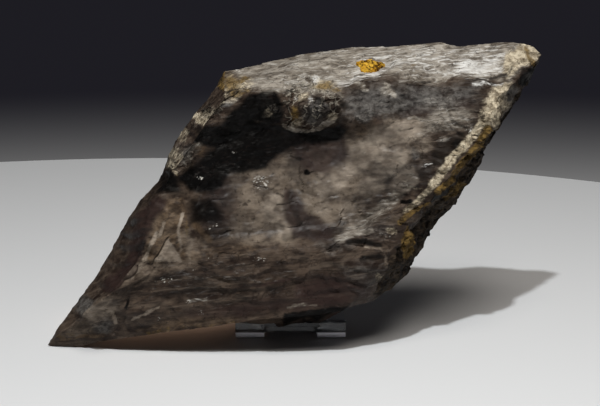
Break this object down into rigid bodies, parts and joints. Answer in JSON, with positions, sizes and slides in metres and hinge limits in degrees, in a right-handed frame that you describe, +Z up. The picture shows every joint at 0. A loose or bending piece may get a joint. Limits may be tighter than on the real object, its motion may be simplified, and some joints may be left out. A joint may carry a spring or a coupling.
{
  "type": "gypsum crystal on a display stand",
  "caption": "Thick smoky grey-brown gypsum blade with a slanted rhombic outline and a hollowed front face, leaning on a small bent clear stand.",
  "frame": {"origin": "on the surface that the object stands on, under the middle of its box", "axes": "+X to the right along the blade's long side, +Y to the back, +Z up"},
  "size_m": [0.2466, 0.0836, 0.1468],
  "materials": {
    "smoky_gypsum": "smoky grey-brown, partly see-through, glassy on cleavage and dull where broken",
    "ochre": "dull, granular yellow-orange",
    "clear_plastic": "clear and polished"
  },
  "bodies": {
    "root": {"crystal": "smoky_gypsum", "ochre_crust": "ochre", "stand": "clear_plastic"}
  },
  "joints": []
}
